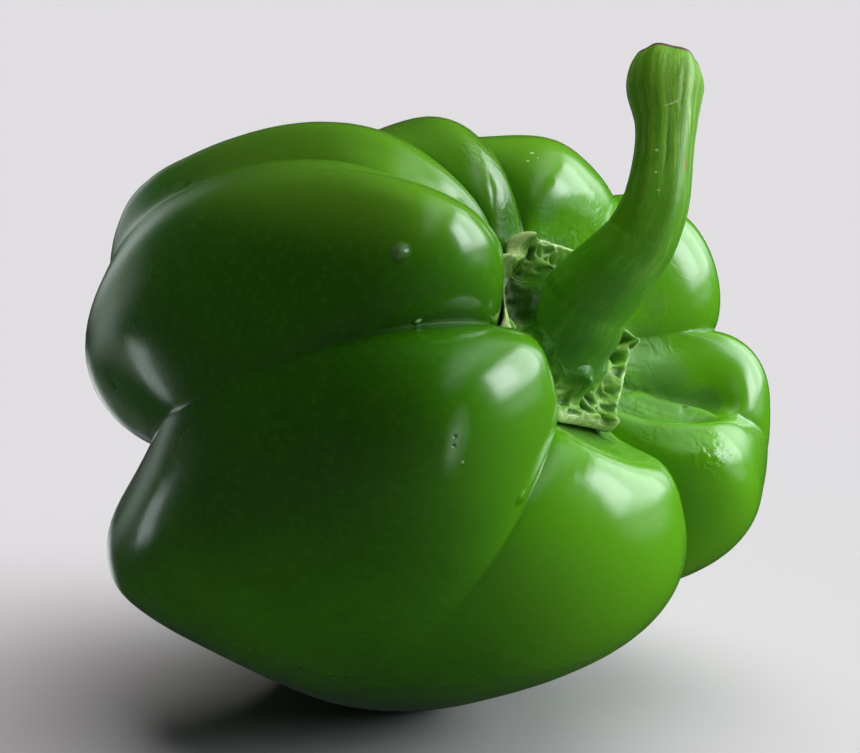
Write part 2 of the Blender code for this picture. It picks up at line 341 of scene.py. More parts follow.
def dress(piece, node, material):
    piece.data.materials.append(material)
    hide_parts(node)
    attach(piece, "root")
    print("made", piece.name, len(piece.data.polygons), "faces")


# fruit: the CAD shape made finer, with the slight unevenness of a grown wall, wrinkles where the
# shoulders fold in to the calyx, and the dents that the photograph shows
fruitSet = {
    "levels": 2,
    # size and depth in mm of the wall's unevenness
    "broad": (17, 0.35),
    "fine": (6, 0.07),
    "restFade": 6,            # mm above the board over which the unevenness comes in
    # furrows: rounds of averaging, and the mm below the average that count as a full furrow
    "hollowRounds": 60,
    "hollowFull": 0.35,
    # wrinkles round the calyx: depth and size in mm, sharpness, where they end and over how far
    "wrinkleDepth": 0.22,
    "wrinkleSize": 9,
    "wrinkleSharp": 4,
    "wrinkleOut": (34, 16),
    "wrinkleDown": (-16, 14),
    "wrinkleOpen": 0.25,      # share that stays outside the furrows
    "wrinklePucker": 0.35,
    # paler towards the calyx, and painted light on the right side and on top: start and width in
    # mm, strength
    "paintedLightSide": (-8, 50, 0.8),
    "paleSeat": (-22, 34, 0.35),
    "paintedTopLight": (73, 15),
    # painted shade on the front, which faces away from the windows: place in the photograph, reach
    # in mm, strength
    "paintedShadeFront": [((240, 345), 60, 1.0)],
    # name, place in the photograph, width and depth in mm
    "dents": [
        ("twinPitDent", (456, 441), 3.4, 0.35),
        ("twinPitUpper", (455, 436), 0.95, 0.35),
        ("twinPitLower", (454, 445), 0.95, 0.35),
        ("leftPit", (115, 388), 1.6, 0.30),
        ("lowerScratchDent", (188, 183), 2.4, 0.12),
        ("rightDent", (685, 407), 2.2, 0.30),
    ],
    # the ledge on the right: its line in the photograph, then sizes in the photograph's pixels
    "ledge": [(600, 404), (617, 412), (650, 419), (690, 419), (740, 414)],
    "ledgeEnds": (604, 626, 700, 752),
    "ledgeReach": 66,
    "ledgeWall": 15,
    "ledgeLip": (7, 9),       # how far below the line, and half width
    "ledgeBelow": 40,
    "ledgeBlur": 30,
    "ledgeDepth": 2.9,        # mm
    "ledgeLipHeight": 0.3,    # mm
    "ledgeCalm": (90, 0.9),   # rounds of averaging before it is carved, and their share
    "ledgeSettle": 5,         # rounds after
    "facing": 0.2,
    # painted shade and duller wax on the inner sides of the lobes: place in the photograph, reach
    # in mm and strength
    "paintedShadePlaces": [
        ((640, 350), 9.0, 0.9), ((660, 385), 10.0, 1.0), ((690, 400), 6.0, 0.7),
        ((548, 205), 6.0, 0.7), ((655, 305), 6.0, 0.6),
    ],
    # skin that puckered as it grew, given in the same way
    "puckers": [
        ((715, 450), 6.0, 0.7), ((572, 252), 6.0, 0.55), ((548, 240), 4.0, 0.4),
        ((600, 222), 3.5, 0.45), ((500, 168), 4.0, 0.5), ((480, 150), 5.0, 0.6),
        ((508, 215), 4.0, 0.4), ((650, 430), 4.0, 0.3),
    ],
    "puckerDepth": 0.75,      # mm
    # small swellings (+) and dimples (-): place in the photograph, width and height in mm
    "bumps": [
        ("roundSpot", (400, 252), 3.3, 0.85),
        ("twinPits", (456, 441), 5.0, 0.2),
        ("upperPit", (455, 436), 0.9, -0.2),
        ("lowerPit", (454, 446), 0.9, -0.2),
        ("creasePimple", (417, 322), 1.6, 0.3),
        ("lowerPimple", (521, 498), 3.0, 0.5),
        ("leftDimple", (115, 388), 1.8, -0.4),
    ],
    # place in the photograph, length and width in mm, turn in degrees, colour, strength
    "marks": [
        # the twin pit smears, the round spot's halo and the crease and top sparkles are painted
        # highlights
        ("twinPitHighlightWide", (456, 441), 9.5, 3.2, 80, "86A878", 0.22),
        ("twinPitHighlight", (454, 443), 6.0, 1.7, 80, "86A878", 0.32),
        ("roundSpotHighlightHalo", (399, 251), 2.6, 2.2, 0, "6A8C5E", 0.45),
        ("twinPitUpper", (455, 436), 0.55, 0.45, 0, "143408", 0.7),
        ("twinPitLower", (454, 445), 0.50, 0.40, 0, "143408", 0.7),
        ("creaseGlint", (418, 321), 1.1, 0.6, 30, "A8CC90", 0.8),
        ("topGlintOne", (532, 153), 0.7, 0.5, 0, "B4D49A", 0.9),
        ("topGlintTwo", (528, 161), 0.6, 0.4, 40, "B4D49A", 0.8),
        ("topGlintThree", (538, 158), 0.5, 0.3, 70, "B4D49A", 0.7),
        ("paleDot", (463, 462), 0.45, 0.40, 0, "A8C890", 0.6),
        ("ridgeScarLong", (472, 143), 1.5, 0.30, -60, "6B4A22", 0.7),
        ("ridgeScarShort", (478, 170), 1.1, 0.30, -70, "6B4A22", 0.6),
        ("topScratch", (188, 183), 1.6, 0.28, 15, "12300A", 0.7),
        ("leftPitMark", (115, 388), 0.9, 0.45, 60, "14300A", 0.7),
        ("lowerDotOne", (656, 517), 0.35, 0.30, 0, "A2A84A", 0.7),
        ("lowerDotTwo", (659, 524), 0.40, 0.25, 0, "A2A84A", 0.7),
        # painted shade in the small fold on the right
        ("foldShadeMark", (685, 407), 1.2, 0.5, 5, "1C3C08", 0.7),
    ],
    "darkGreen": "2B6408",
    "midGreen": "357309",
    # clouds about 18 mm across, cells of the skin and its fine grain; the real cells are about
    # 0.1 mm, drawn ten times coarser so that they show
    "cloud": {"Scale": 55.0, "Detail": 3.0, "Roughness": 0.5},
    "cells": {"Scale": 900.0, "Detail": 2.0, "Roughness": 0.6},
    "grain": {"Scale": 420.0, "Detail": 3.0, "Roughness": 0.55},
    "grainBump": {"Strength": 0.12, "Distance": 0.2 * mm},
    # folds of puckered skin about 2 mm apart
    "folds": {"Scale": 480.0, "Detail": 2.0, "Roughness": 0.45, "Distortion": 1.2},
    # where a colour lies, the colour, from and to, weakest and strongest
    "layers": [
        # the upper layer is painted light on the top of the fruit
        ("paleSeatAndPaintedLight", "55960F", 0.1, 1.0, 0.0, 1.0),
        ("painted_shade", "1B4A04", 0.0, 0.8, 0.0, 0.8),
        ("upper", "629620", 0.0, 1.0, 0.0, 0.6),
        ("painted_shade_and_dull", "27560A", 0.2, 1.0, 0.0, 0.45),
    ],
    "cellLayer": ("6FA62C", 0.45, 0.75, 0.0, 0.07),
    # the wax is rubbed and dusty down in the furrows: from and to, value outside and inside
    "dull": (0.2, 1.0, 0.22, 0.60),
    "wax": (0.1, 0.9, 0.5, 0.0),
    "skin": {
        "IOR": 1.45,
        "Specular IOR Level": 0.4,
        "Coat Roughness": 0.07,
        "Coat IOR": 1.4,
        "Subsurface Weight": 0.12,
        "Subsurface Radius": (0.8, 1.0, 0.15),
        "Subsurface Scale": 3 * mm,
    },
}


def carveLedge(piece):
    # the lower right lobe has a crisp upper edge, with a dark hollow above it
    points = getPoints(piece)
    x, y = toPixels(points)
    towards = Vector(cameraSet["place"]).normalized()
    facing = softStep((getNormals(piece) @ towards) / fruitSet["facing"])
    first, full, fade, last = fruitSet["ledgeEnds"]
    across = rise(x, first, full - first) * fall(x, last, last - fade) * facing
    reach, blur = fruitSet["ledgeReach"], fruitSet["ledgeBlur"]
    above = np.interp(x, *np.array(fruitSet["ledge"]).T) - y
    zone = across * rise(above, -fruitSet["ledgeBelow"], blur) * fall(above, reach + blur / 3, blur)
    rounds, share = fruitSet["ledgeCalm"]
    points = points + (smoothed(piece, points, rounds) - points) * (share * zone)[:, None]
    setPoints(piece, points)
    hollow = rise(above, -2, fruitSet["ledgeWall"]) * fall(above, reach, reach)
    below, half = fruitSet["ledgeLip"]
    lip = np.exp(-((above + below) / half) ** 2)
    move = across * (fruitSet["ledgeLipHeight"] * lip - fruitSet["ledgeDepth"] * hollow) * mm
    points = points + getNormals(piece) * move[:, None]
    settled = smoothed(piece, points, fruitSet["ledgeSettle"])
    setPoints(piece, points + (settled - points) * zone[:, None])


def makeFruit():
    piece = copyNode("fruit", "fruit_wall")
    makeFiner(piece, fruitSet["levels"])
    carveLedge(piece)
    points = getPoints(piece)
    normals = getNormals(piece)
    grown = toGrowth(points)
    # how far each place lies in a furrow: below the average of the skin round it
    average = smoothed(piece, points, fruitSet["hollowRounds"])
    below = ((average - points) * normals).sum(1)
    hollow = softStep(below / (fruitSet["hollowFull"] * mm))
    sink = np.zeros(len(points))
    for seed, (size, depth) in ((1, fruitSet["broad"]), (2, fruitSet["fine"])):
        sink = sink + depth * mm * (0.5 + 0.5 * noiseAt(points, size * mm, seed))
    # wrinkles run down from the calyx, close together near it and gone on the belly
    angle = np.arctan2(grown[:, 1], grown[:, 0])
    radius = np.hypot(grown[:, 0], grown[:, 1])
    nearSeat = fall(radius, *fruitSet["wrinkleOut"]) * rise(grown[:, 2], *fruitSet["wrinkleDown"])
    size = fruitSet["wrinkleSize"]
    ringed = np.stack([np.cos(angle) * size, np.sin(angle) * size, radius / size], 1)
    crests = 1 - np.abs(noiseAt(ringed, 1.0, 3)) * fruitSet["wrinkleSharp"]
    wrinkle = np.clip(crests, 0, 1) ** 2
    spread = fruitSet["wrinkleOpen"]
    rough = nearSeat * (spread + (1 - spread) * hollow)
    sink = sink + fruitSet["wrinkleDepth"] * mm * wrinkle * rough
    # paler towards the calyx, and painted light on the right, where the windows light the shoulders
    start, width, strength = fruitSet["paintedLightSide"]
    paleSeatAndPaintedLight = strength * rise(points[:, 0] / mm, start, width)
    start, width, strength = fruitSet["paleSeat"]
    paleSeatAndPaintedLight = paleSeatAndPaintedLight + strength * rise(grown[:, 2], start, width)
    storeNumbers(piece, "paleSeatAndPaintedLight", np.clip(paleSeatAndPaintedLight, 0, 1))
    # painted light on the top of the fruit, where the ceiling light falls
    storeNumbers(piece, "upper", rise(points[:, 2] / mm, *fruitSet["paintedTopLight"]))
    nothing = np.zeros(len(points))
    # painted shade on the front of the fruit
    storeNumbers(piece, "painted_shade", raiseSpots(piece, points, nothing, fruitSet["paintedShadeFront"]))
    for _, pixel, width, depth in fruitSet["dents"]:
        found, centre, _ = seenPlace(piece, pixel)
        if found:
            sink = sink + depth * mm * patch(points, centre, width * mm / 2)
    pucker = fruitSet["wrinklePucker"] * rough
    storeNumbers(piece, "pucker", raiseSpots(piece, points, pucker, fruitSet["puckers"]))
    # painted shade down in the furrows and at the listed places; the same share dulls the wax
    storeNumbers(piece, "painted_shade_and_dull", raiseSpots(piece, points, hollow, fruitSet["paintedShadePlaces"]))
    sink = sink * softStep(points[:, 2] / (fruitSet["restFade"] * mm))
    setPoints(piece, points - normals * sink[:, None])
    return piece


def paintSkin(tree):
    # Capsicum skin: live green tissue under the thin clear wax that it grows. The wax gives the eye
    # sharp window highlights with soft edges over a deep, saturated green.
    spot = addNode(tree, "ShaderNodeTexCoord", {}, {}, "Object")
    cloud, cells, grain, folds = [
        addNode(tree, "ShaderNodeTexNoise", {}, {"Vector": spot, **fruitSet[name]})
        for name in ("cloud", "cells", "grain", "folds")
    ]
    green = hexColour(fruitSet["darkGreen"])
    green = paintOver(tree, green, cloud, fruitSet["midGreen"], 0.3, 0.7)
    for layer in fruitSet["layers"]:
        green = paintOver(tree, green, *layer)
    green = paintOver(tree, green, cells, *fruitSet["cellLayer"])
    green = paintMarks(tree, fruit, spot, green, fruitSet["marks"])
    # puckered skin shows as short folds across the lobes
    pucker = addNode(tree, "ShaderNodeAttribute", {"attribute_name": "pucker"}, {}, "Fac")
    height = addNode(tree, "ShaderNodeMath", {"operation": "MULTIPLY"}, (folds, pucker))
    height = addNode(tree, "ShaderNodeMath", {"operation": "MULTIPLY"},
                     (height, fruitSet["puckerDepth"]))
    for name, pixel, width, tall in fruitSet["bumps"]:
        found, centre, _ = seenPlace(fruit, pixel)
        if not found:
            continue
        away = addNode(tree, "ShaderNodeVectorMath", {"operation": "DISTANCE", "label": name},
                       (spot, centre), "Value")
        spread = (away, width * mm / 2, 0.0, 0.0, tall)
        swell = addNode(tree, "ShaderNodeMapRange", softRange, spread)
        height = addNode(tree, "ShaderNodeMath", {"operation": "ADD"}, (height, swell))
    relief = addNode(tree, "ShaderNodeBump", {},
                     {"Strength": 1.0, "Distance": mm, "Height": height})
    bump = addNode(tree, "ShaderNodeBump", {},
                   {"Height": grain, "Normal": relief, **fruitSet["grainBump"]})
    painted_shade_and_dull = addNode(tree, "ShaderNodeAttribute", {"attribute_name": "painted_shade_and_dull"}, {}, "Fac")
    dull = addNode(tree, "ShaderNodeMapRange", softRange, (painted_shade_and_dull, *fruitSet["dull"]))
    wax = addNode(tree, "ShaderNodeMapRange", softRange, (painted_shade_and_dull, *fruitSet["wax"]))
    return {"Base Color": green, "Roughness": dull, "Coat Weight": wax, "Normal": bump}


fruit = makeFruit()
dress(fruit, "fruit", makeMaterial("waxy_pepper_skin", fruitSet["skin"], paintSkin))

# calyx: the fibrous cap that the stem grows from, folded inside its raised rim
calyxSet = {
    "levels": 2,
    "centre": (-2.2, 0.7),    # mm, across the fruit's own axis
    "bins": 72,               # directions in which the edge is measured
    "rimBand": 1.9,           # mm
    "mound": 8.2,             # mm from the centre to where the folds begin
    "moundFade": 1.6,
    "cell": 2.5,              # mm between the folds
    "cellDraw": 0.3,          # the cells are drawn out along the axis
    "cellBend": (2.0, 0.7),   # mm between bends, and mm that they bend
    "foldWidth": 0.55,
    "fold": 0.40,             # mm
    "pit": 0.75,              # mm
    "pitVary": (3.0, 0.4),    # mm between shallow and deep pits, and the share that varies
    "fibre": 0.10,            # mm
    "fibreSize": (5, 0.5),
    "fibreOpen": 0.3,         # share that the fibres keep off the rim
    "corner": ((514, 300), 6.5, 1.6),    # place in the photograph, reach and depth in mm
    "foot": (-2.6, 1.2),      # mm, the middle of the stem's foot
    "footRadius": 6.6,
    "footFade": (1.1, 4.5),
    "fillet": (3.4, 1.7),     # mm out from the foot, mm up it
    # ridges that run from the stem's foot to the rim: angle, reach, height and half width in mm
    "roots": [
        (-104, 13.0, 2.2, 2.0), (-56, 12.5, 0.9, 1.0), (-22, 12.0, 0.9, 1.0),
        (20, 12.0, 0.8, 1.0), (128, 12.5, 1.0, 1.1), (160, 12.0, 0.8, 1.0),
    ],
    "rootEnd": 4,             # mm over which a ridge ends, and over which it comes down
    "rootSlope": 6,
    "rootColour": 0.8,
    "topTurn": 0.5,           # how level a face is before it counts as the top
    "edgeTurn": 0.4,
    "edgeBand": (-1.5, 1.2),
    "darkGreen": "427C0C",
    "midGreen": "5E9420",
    "paleRim": "C8D898",
    # clouds about 2.4 mm across; tissue finer than 1 mm; fibres along the rim and down the folds
    "cloud": {"Scale": 420.0, "Detail": 4.0, "Roughness": 0.6},
    "tissue": {"Scale": 1500.0, "Detail": 3.0, "Roughness": 0.6},
    "fibres": {"Scale": 2.2, "Detail": 4.0, "Roughness": 0.65},
    "tissueBump": {"Strength": 0.4, "Distance": 0.3 * mm},
    # where a colour lies, the colour, from and to, weakest and strongest
    "layers": [
        ("mound", "357306", 0.2, 0.9, 0.0, 1.0),
        # painted shade in the pits, painted light on the fold crests
        ("pit", "234E05", 0.3, 0.95, 0.0, 0.8),
        ("fold", "94B45C", 0.6, 1.0, 0.0, 0.35),
    ],
    "rimShare": (0.1, 0.75, 0.0, 0.95),
    "fibreShare": (0.3, 0.6, 0.35, 1.0),
    "lastLayers": [
        ("edge", "7A6A34", 0.2, 0.9, 0.0, 0.8),
        # painted shadow in the sunk corner behind the front lobes
        ("deep", "1C3C08", 0.0, 0.7, 0.0, 0.85),
    ],
    "flesh": {
        "Roughness": 0.42,
        "IOR": 1.42,
        "Subsurface Weight": 0.15,
        "Subsurface Radius": (0.8, 1.0, 0.3),
        "Subsurface Scale": 2 * mm,
    },
}


def edgeRadius(angle, radius):
    # how far out the cap's edge is in each point's direction, from the mesh itself
    bins = calyxSet["bins"]
    place = (angle + math.pi) / (2 * math.pi) * bins
    edge = np.zeros(bins)
    np.maximum.at(edge, np.floor(place).astype(int) % bins, radius)
    closed = np.concatenate([edge[-1:], edge, edge[:1]])
    return np.interp(place, np.arange(-1, bins + 1) + 0.5, closed)


def makeCalyx():
    piece = copyNode("calyx", "calyx_cap")
    makeFiner(piece, calyxSet["levels"])
    points = getPoints(piece)
    grown = toGrowth(points)
    upward = getNormals(piece) @ growthTurn()
    across = grown[:, :2] - np.array(calyxSet["centre"])
    radius = np.hypot(across[:, 0], across[:, 1])
    angle = np.arctan2(across[:, 1], across[:, 0])
    edgeHere = edgeRadius(angle, radius)
    rim = softStep(1 - (edgeHere - radius) / calyxSet["rimBand"])
    top = softStep(upward[:, 2] / calyxSet["topTurn"])
    # folds are the walls of drawn-out cells, bent by noise so that none is straight
    size, bend = calyxSet["cellBend"]
    bent = grown + bend * np.stack([noiseAt(grown, size, seed) for seed in (11, 12, 13)], 1)
    shares = []
    for spot in (bent * np.array((1, 1, calyxSet["cellDraw"])) / calyxSet["cell"]).tolist():
        near = noise.voronoi(spot)[0]
        shares.append(near[1] - near[0])
    fold = 1 - softStep(np.array(shares) / calyxSet["foldWidth"])
    floorBand = rise(radius, calyxSet["mound"], calyxSet["moundFade"]) * (1 - rim)
    size, share = calyxSet["pitVary"]
    pit = calyxSet["pit"] * (1 - share + share * noiseAt(grown, size, 14))
    lift = floorBand * (calyxSet["fold"] * fold - (1 - fold) * pit)
    # the stem's foot spreads into the cap, most of all along its roots
    out = grown[:, :2] - np.array(calyxSet["foot"])
    fromFoot = np.hypot(out[:, 0], out[:, 1]) - calyxSet["footRadius"]
    wide, high = calyxSet["fillet"]
    foot = np.clip(1 - fromFoot / wide, 0, 1) ** 2
    lift = lift * (1 - foot) + high * foot
    rootShare = np.zeros(len(grown))
    for turn, reach, height, half in calyxSet["roots"]:
        ahead = np.array((math.cos(math.radians(turn)), math.sin(math.radians(turn))))
        aside = across @ np.array((-ahead[1], ahead[0]))
        forward = (across @ ahead > 0) * fall(radius, reach, calyxSet["rootEnd"])
        share = np.exp(-(aside / half) ** 2) * forward
        ridge = np.maximum(lift, height * fall(radius, reach, calyxSet["rootSlope"]))
        lift = lift * (1 - share) + share * ridge
        rootShare = np.maximum(rootShare, share)
    # a sunk corner behind the two front lobes, darkened with painted shadow from them
    pixel, reach, depth = calyxSet["corner"]
    _, corner, _ = seenPlace(piece, pixel)
    deepest = patch(points, corner, reach * mm)
    lift = lift - depth * deepest
    # fibres run along the rim and down the mound
    size, band = calyxSet["fibreSize"]
    drawn = np.stack([np.cos(angle) * size, np.sin(angle) * size, (edgeHere - radius) / band], 1)
    least = calyxSet["fibreOpen"]
    fibrous = least + (1 - least) * np.maximum(rim, floorBand)
    lift = lift + calyxSet["fibre"] * noiseAt(drawn, 1.0, 5) * fibrous
    move = np.zeros_like(points)
    move[:, 2] = lift * top
    setPoints(piece, points + (move @ growthTurn().T) * mm)
    full, fade = calyxSet["footFade"]
    mound = np.maximum(softStep(full - fromFoot / fade), rootShare * calyxSet["rootColour"])
    rimEdge = rise(radius - edgeHere, *calyxSet["edgeBand"])
    storeNumbers(piece, "rim", rim)
    storeNumbers(piece, "fold", fold * floorBand)
    storeNumbers(piece, "pit", (1 - fold) * floorBand * top * (1 - rootShare))
    storeNumbers(piece, "mound", mound)
    storeNumbers(piece, "deep", deepest)
    storeNumbers(piece, "edge", softStep(-upward[:, 2] / calyxSet["edgeTurn"]) * rimEdge)
    storeVectors(piece, "fibre", drawn)
    return piece


def paintCalyx(tree):
    # Calyx: fleshy leaf tissue that dries from its edge. The eye sees a pale fibrous rim and folds
    # that catch the light over dark green pits. The pits are darkened with painted shade and the
    # fold crests lightened with painted light.
    spot = addNode(tree, "ShaderNodeTexCoord", {}, {}, "Object")
    drawn = addNode(tree, "ShaderNodeAttribute", {"attribute_name": "fibre"}, {}, "Vector")
    cloud, tissue, fibres = [
        addNode(tree, "ShaderNodeTexNoise", {}, {"Vector": place, **calyxSet[name]})
        for name, place in (("cloud", spot), ("tissue", spot), ("fibres", drawn))
    ]
    green = hexColour(calyxSet["darkGreen"])
    green = paintOver(tree, green, cloud, calyxSet["midGreen"], 0.35, 0.65)
    for layer in calyxSet["layers"]:
        green = paintOver(tree, green, *layer)
    rim = addNode(tree, "ShaderNodeAttribute", {"attribute_name": "rim"}, {}, "Fac")
    rim = addNode(tree, "ShaderNodeMapRange", softRange, (rim, *calyxSet["rimShare"]))
    strands = addNode(tree, "ShaderNodeMapRange", softRange, (fibres, *calyxSet["fibreShare"]))
    pale = addNode(tree, "ShaderNodeMath", {"operation": "MULTIPLY"}, (rim, strands))
    green = addNode(tree, "ShaderNodeMix", colourMix,
                    {0: pale, 6: green, 7: hexColour(calyxSet["paleRim"])}, 2)
    for layer in calyxSet["lastLayers"]:
        green = paintOver(tree, green, *layer)
    bump = addNode(tree, "ShaderNodeBump", {}, {"Height": tissue, **calyxSet["tissueBump"]})
    return {"Base Color": green, "Normal": bump}


calyx = makeCalyx()
dress(calyx, "calyx", makeMaterial("fibrous_calyx", calyxSet["flesh"], paintCalyx))

# stem: a smooth stalk with fine lengthwise lines that deepen towards its dry cut end
stemSet = {
    "levels": 2,
    # the stalk's middle line in mm, in the fruit's own coordinates
    "path": [
        (-2.6, 1.2, 4.8), (-2.6, 3.7, 8.2), (-1.5, 6.4, 13.3), (0.1, 9.4, 17.9),
        (1.2, 14.0, 21.5), (2.6, 20.1, 23.5), (4.4, 25.4, 24.4), (5.9, 30.0, 24.4),
        (7.1, 33.0, 24.7), (8.1, 35.0, 25.1),
    ],
    "steps": 40,              # places along it where the girth is measured
    "skinFrom": 1.5,          # mm from the middle line, so that the cut's inside is left out
    # how far the CAD ribs are softened: share at the foot, what it loses, from and over how far
    "soften": (0.75, 0.45, 8, 16),
    "cutKept": (2, 3),        # mm from the middle and from the cut that stay as they are
    "footSpread": 0.26,       # share that the foot widens by
    "footLength": 7.0,        # mm
    "footSink": 0.7,          # mm that it reaches into the cap
    "footSinkLength": 2,
    "grainLength": 22,        # mm of stalk to one turn of the grain
    "ribs": 15,
    "ribDepth": 0.10,         # mm
    "ribBend": (1.1, 3.9),
    "ribVary": (0.8, 0.45),
    "grainDepth": 0.07,       # mm
    "streaks": (9, 9, 1.6),
    # the ribs come up along the stalk: share at the foot, from and over how far in mm, end
    "ribRise": (0.15, 16, 14),
    "ribEnd": (0.5, 2),
    "cutBand": (-1.0, 0.8),   # mm from the tip, and over how far
    "marks": [
        ("brownBlemish", (686, 165), 2.2, 0.9, 80, "86652E", 0.7),
        ("paleScratch", (672, 103), 2.6, 0.28, 20, "B8CC90", 0.6),
        # the two pale streaks and the three sparkles below are painted highlights
        ("highlightStreakOne", (681, 84), 7.0, 0.7, 82, "A4C878", 0.7),
        ("highlightStreakTwo", (690, 118), 6.0, 0.6, 80, "A4C878", 0.6),
        ("darkGroove", (668, 142), 8.0, 0.35, 84, "2A5608", 0.6),
        ("stalkGlintOne", (657, 150), 0.5, 0.4, 0, "B8D490", 0.7),
        ("stalkGlintTwo", (656, 172), 0.5, 0.35, 0, "B8D490", 0.7),
        ("stalkGlintThree", (658, 190), 0.5, 0.3, 0, "B8D490", 0.6),
    ],
    "footShade": "357306",    # as the cap's own green beside it
    "footGreen": "3F8206",
    "tipGreen": "64981C",
    "paleStreak": "8FB84C",
    # streaks and fine lines run with the grain; clouds are about 6 mm across
    "streakNoise": {"Scale": 4.0, "Detail": 4.0, "Roughness": 0.55},
    "fineLines": {"Scale": 14.0, "Detail": 3.0, "Roughness": 0.5},
    "cloud": {"Scale": 160.0, "Detail": 2.0},
    "lineBump": {"Strength": 0.25, "Distance": 0.3 * mm},
    "streakShare": (0.45, 0.7, 0.0, 1.0),
    "streakAlong": (0.2, 0.8, 0.15, 0.6),
    "stalkSkin": {
        "Roughness": 0.42,
        "IOR": 1.42,
        "Subsurface Weight": 0.08,
        "Subsurface Radius": (0.8, 1.0, 0.2),
        "Subsurface Scale": 2 * mm,
    },
}


def alongPath(grown, path):
    # for each point: mm along the path, its angle round it, its distance from it and the place
    # there, and last the whole length
    path = np.array(path)
    pieces = np.diff(path, axis=0)
    lengths = np.linalg.norm(pieces, axis=1)
    starts = np.concatenate([[0], np.cumsum(lengths)[:-1]])
    farthest, beyond = 1e9, 9    # the first and the last stretch also run on past their ends
    best = np.full(len(grown), farthest)
    along = np.zeros(len(grown))
    foot = np.zeros_like(grown)
    ahead = np.zeros_like(grown)
    for i, piece in enumerate(pieces):
        share = ((grown - path[i]) @ piece) / lengths[i] ** 2
        low = -beyond if i == 0 else 0
        high = beyond if i == len(pieces) - 1 else 1
        share = np.clip(share, low, high)
        place = path[i] + share[:, None] * piece
        away = np.linalg.norm(grown - place, axis=1)
        closer = away < best
        best[closer] = away[closer]
        along[closer] = (starts[i] + share * lengths[i])[closer]
        foot[closer] = place[closer]
        ahead[closer] = piece / lengths[i]
    side = np.cross(ahead, np.array((1.0, 0.0, 0.0)))
    side = side / np.linalg.norm(side, axis=1)[:, None]
    other = np.cross(ahead, side)
    out = grown - foot
    angle = np.arctan2((out * other).sum(1), (out * side).sum(1))
    return along, angle, best, foot, starts[-1] + lengths[-1]


def evenGirth(along, away, total):
    # the stalk's mean radius at each point's place along it
    step = np.linspace(-1, total + 1, stemSet["steps"])
    index = np.clip(np.digitize(along, step), 1, len(step) - 1)
    girth = np.zeros(len(step))
    for i in range(len(step)):
        near = (index == i) & (away > stemSet["skinFrom"])
        if near.any():
            girth[i] = away[near].mean()
    known = girth > 0
    return np.interp(along, step[known] - 0.5 * (step[1] - step[0]), girth[known])


def makeStem():
    piece = copyNode("stem", "stem_stalk")
    makeFiner(piece, stemSet["levels"])
    points = getPoints(piece)
    normals = getNormals(piece)
    grown = toGrowth(points)
    along, angle, away, middle, total = alongPath(grown, stemSet["path"])
    # the CAD ribs are softened, and the foot spreads where it grows out of the cap
    even = evenGirth(along, away, total)
    most, loss, start, width = stemSet["soften"]
    inner, end = stemSet["cutKept"]
    soft = most - loss * rise(along, start, width)
    soft = soft * softStep(away - inner) * fall(along, total, end)
    low = np.clip(1 - along / stemSet["footLength"], 0, 1) ** 2
    nearest = 0.1
    scale = 1 + soft * (even / np.maximum(away, nearest) - 1) + stemSet["footSpread"] * low
    grown = middle + (grown - middle) * scale[:, None]
    lowered = softStep(1 - along / stemSet["footSinkLength"])
    grown[:, 2] = grown[:, 2] - stemSet["footSink"] * lowered
    points = (grown @ growthTurn().T + np.array(growthSet["seat"])) * mm
    grain = np.stack([np.cos(angle), np.sin(angle), along / stemSet["grainLength"]], 1)
    storeVectors(piece, "grain", grain)
    storeNumbers(piece, "along", along / total)
    # ribs and fine lines run along the stalk
    size, bend = stemSet["ribBend"]
    rib = 0.5 - 0.5 * np.sin(angle * stemSet["ribs"] + noiseAt(grain, size, 7) * bend)
    streak = noiseAt(grain * np.array(stemSet["streaks"]), 1.0, 8)
    least, start, width = stemSet["ribRise"]
    stop, over = stemSet["ribEnd"]
    fade = (least + (1 - least) * rise(along, start, width)) * fall(along, total - stop, over)
    size, share = stemSet["ribVary"]
    sink = stemSet["ribDepth"] * rib * (1 - share + share * noiseAt(grain, size, 9))
    sink = sink + stemSet["grainDepth"] * (0.5 - 0.5 * streak)
    setPoints(piece, points - normals * (sink * fade * mm)[:, None])
    storeNumbers(piece, "groove_shade", np.clip(rib * fade, 0, 1))
    storeNumbers(piece, "cut", rise(along - total, *stemSet["cutBand"]))
    return piece


def paintStem(tree):
    # Stem: a firm green stalk with a satin skin. The eye sees soft lengthwise streaks and a dry
    # brown cut.
    spot = addNode(tree, "ShaderNodeTexCoord", {}, {}, "Object")
    grain = addNode(tree, "ShaderNodeAttribute", {"attribute_name": "grain"}, {}, "Vector")
    along = addNode(tree, "ShaderNodeAttribute", {"attribute_name": "along"}, {}, "Fac")
    streaks, fine, cloud = [
        addNode(tree, "ShaderNodeTexNoise", {}, {"Vector": place, **stemSet[name]})
        for name, place in (("streakNoise", grain), ("fineLines", grain), ("cloud", spot))
    ]
    green = hexColour(stemSet["footGreen"])
    green = paintOver(tree, green, along, stemSet["tipGreen"], 0.1, 0.95)
    green = paintOver(tree, green, along, stemSet["footShade"], 0.0, 0.14, 1.0, 0.0)
    shares = [
        addNode(tree, "ShaderNodeMapRange", softRange, (value, *stemSet[name]))
        for value, name in ((streaks, "streakShare"), (along, "streakAlong"))
    ]
    light = addNode(tree, "ShaderNodeMath", {"operation": "MULTIPLY"}, tuple(shares))
    green = addNode(tree, "ShaderNodeMix", colourMix,
                    {0: light, 6: green, 7: hexColour(stemSet["paleStreak"])}, 2)
    green = paintOver(tree, green, cloud, "4C8412", 0.4, 0.7, 0.0, 0.3)
    # painted shade down in the grooves between the ribs
    green = paintOver(tree, green, "groove_shade", "2C5E08", 0.5, 1.0, 0.0, 0.3)
    green = paintMarks(tree, stem, spot, green, stemSet["marks"])
    green = paintOver(tree, green, "cut", "5A4634", 0.2, 0.8)
    bump = addNode(tree, "ShaderNodeBump", {}, {"Height": fine, **stemSet["lineBump"]})
    return {"Base Color": green, "Normal": bump}


stem = makeStem()
dress(stem, "stem", makeMaterial("green_stalk", stemSet["stalkSkin"], paintStem))

